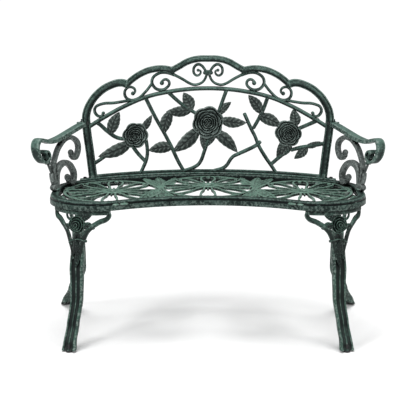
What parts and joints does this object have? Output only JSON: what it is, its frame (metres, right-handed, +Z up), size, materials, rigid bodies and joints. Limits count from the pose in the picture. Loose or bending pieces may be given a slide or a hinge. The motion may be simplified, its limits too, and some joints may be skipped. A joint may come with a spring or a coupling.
{
  "type": "garden bench",
  "caption": "Two-seat cast metal garden bench with a kidney-shaped openwork seat, an arched rose-and-vine backrest, scrolled arms and splayed cabriole legs.",
  "frame": {"origin": "on the floor under the middle of the bounding box", "axes": "+X to the sitter's left as seen from the front (right in the front view), +Y to the back, +Z up; the front of the seat faces -Y"},
  "size_m": [1.0202, 0.57, 0.7851],
  "materials": {
    "cast_green": "satin black-green paint with verdigris highlights on the raised parts",
    "fastener_steel": "blackened zinc-plated steel",
    "glide_rubber": "matt black moulded foot"
  },
  "bodies": {
    "root": {"seat": "cast_green", "backrest": "cast_green", "arm_left": "cast_green", "arm_right": "cast_green", "leg_front_left": "cast_green", "glide_front_left": "glide_rubber", "washer_front_left_1": "fastener_steel", "screw_front_left_1": "fastener_steel", "washer_front_left_2": "fastener_steel", "screw_front_left_2": "fastener_steel", "leg_front_right": "cast_green", "glide_front_right": "glide_rubber", "washer_front_right_1": "fastener_steel", "screw_front_right_1": "fastener_steel", "washer_front_right_2": "fastener_steel", "screw_front_right_2": "fastener_steel", "leg_rear_left": "cast_green", "glide_rear_left": "glide_rubber", "washer_rear_left_1": "fastener_steel", "screw_rear_left_1": "fastener_steel", "washer_rear_left_2": "fastener_steel", "screw_rear_left_2": "fastener_steel", "leg_rear_right": "cast_green", "glide_rear_right": "glide_rubber", "washer_rear_right_1": "fastener_steel", "screw_rear_right_1": "fastener_steel", "washer_rear_right_2": "fastener_steel", "screw_rear_right_2": "fastener_steel", "back_bolt_1": "fastener_steel", "back_nut_1": "fastener_steel", "back_bolt_2": "fastener_steel", "back_nut_2": "fastener_steel", "back_bolt_3": "fastener_steel", "back_nut_3": "fastener_steel", "back_bolt_4": "fastener_steel", "back_nut_4": "fastener_steel", "back_bolt_5": "fastener_steel", "back_nut_5": "fastener_steel", "arm_seat_bolt_left": "fastener_steel", "arm_seat_nut_left": "fastener_steel", "arm_post_bolt_left": "fastener_steel", "arm_post_nut_left": "fastener_steel", "arm_seat_bolt_right": "fastener_steel", "arm_seat_nut_right": "fastener_steel", "arm_post_bolt_right": "fastener_steel", "arm_post_nut_right": "fastener_steel"}
  },
  "joints": []
}
